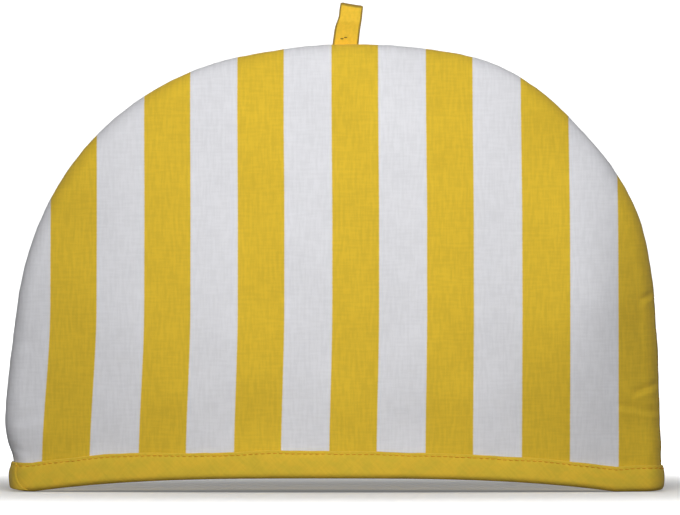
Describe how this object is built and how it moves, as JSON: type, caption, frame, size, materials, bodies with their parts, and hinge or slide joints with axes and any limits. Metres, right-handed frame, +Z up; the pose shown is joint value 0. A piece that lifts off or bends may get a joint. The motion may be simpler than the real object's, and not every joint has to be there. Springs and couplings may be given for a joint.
{
  "type": "tea cosy",
  "caption": "Padded dome-shaped tea cosy in broad upright stripes, with a bound open hem and a short hanging loop on its top seam.",
  "frame": {"origin": "middle of the object's footprint, on the surface that the hem stands on", "axes": "+X to the right across the front panel, +Y from the front panel to the back one, +Z up"},
  "size_m": [0.3508, 0.0878, 0.26],
  "materials": {
    "panel_cotton": "matte woven cotton in yellow and white stripes",
    "binding_cotton": "matte woven cotton",
    "loop_tape": "matte cotton tape"
  },
  "bodies": {
    "root": {"panel_front": "panel_cotton", "panel_back": "panel_cotton", "hem_binding": "binding_cotton", "hanging_loop": "loop_tape"}
  },
  "joints": []
}
